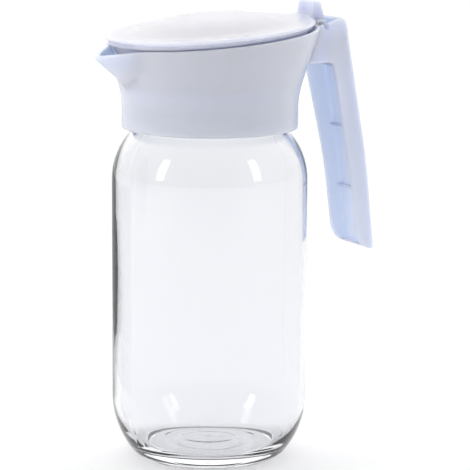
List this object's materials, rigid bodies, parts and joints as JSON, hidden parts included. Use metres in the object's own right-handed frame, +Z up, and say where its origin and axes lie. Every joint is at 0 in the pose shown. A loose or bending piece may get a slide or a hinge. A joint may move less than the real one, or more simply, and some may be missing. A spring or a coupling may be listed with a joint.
{
  "type": "glass pouring jug",
  "caption": "Clear glass jug with a screw-on plastic pouring head, V-shaped spout, hinged domed lid with thumb lever, and open-channel handle.",
  "frame": {"origin": "centre of the base, on the plane it stands on", "axes": "+Z up along the jar's axis, +X towards the handle, -X towards the spout, +Y to the jug's left when the spout points away"},
  "size_m": [0.1533, 0.1086, 0.234],
  "materials": {
    "clear_glass": "clear polished",
    "blue_plastic": "glossy, slightly translucent pastel blue",
    "lid_plastic": "glossy, slightly translucent pastel blue",
    "seal_rubber": "soft milky silicone"
  },
  "bodies": {
    "jar": {"glass_jar": "clear_glass"},
    "seal": {"neck_gasket": "seal_rubber"},
    "head": {"pouring_collar": "blue_plastic", "handle": "blue_plastic", "hinge_pin": "blue_plastic"},
    "cover": {"lid": "lid_plastic"}
  },
  "joints": [
    {"name": "head_lift", "type": "slide", "parent": "jar", "child": "seal", "axis": [0, 0, 1], "range_m": [0, 0.0181]},
    {"name": "head_turn", "type": "hinge", "parent": "seal", "child": "head", "pos_m": [0, 0, 0.188], "axis": [0, 0, 1], "range_deg": [0, 360]},
    {"name": "lid_hinge", "type": "hinge", "parent": "head", "child": "cover", "pos_m": [0.0575, 0, 0.221], "axis": [0, 1, 0], "range_deg": [0, 57]}
  ],
  "couplings": [
    {"joint": "head_lift", "follows": "head_turn", "m_per_rad": 0.0028648}
  ]
}
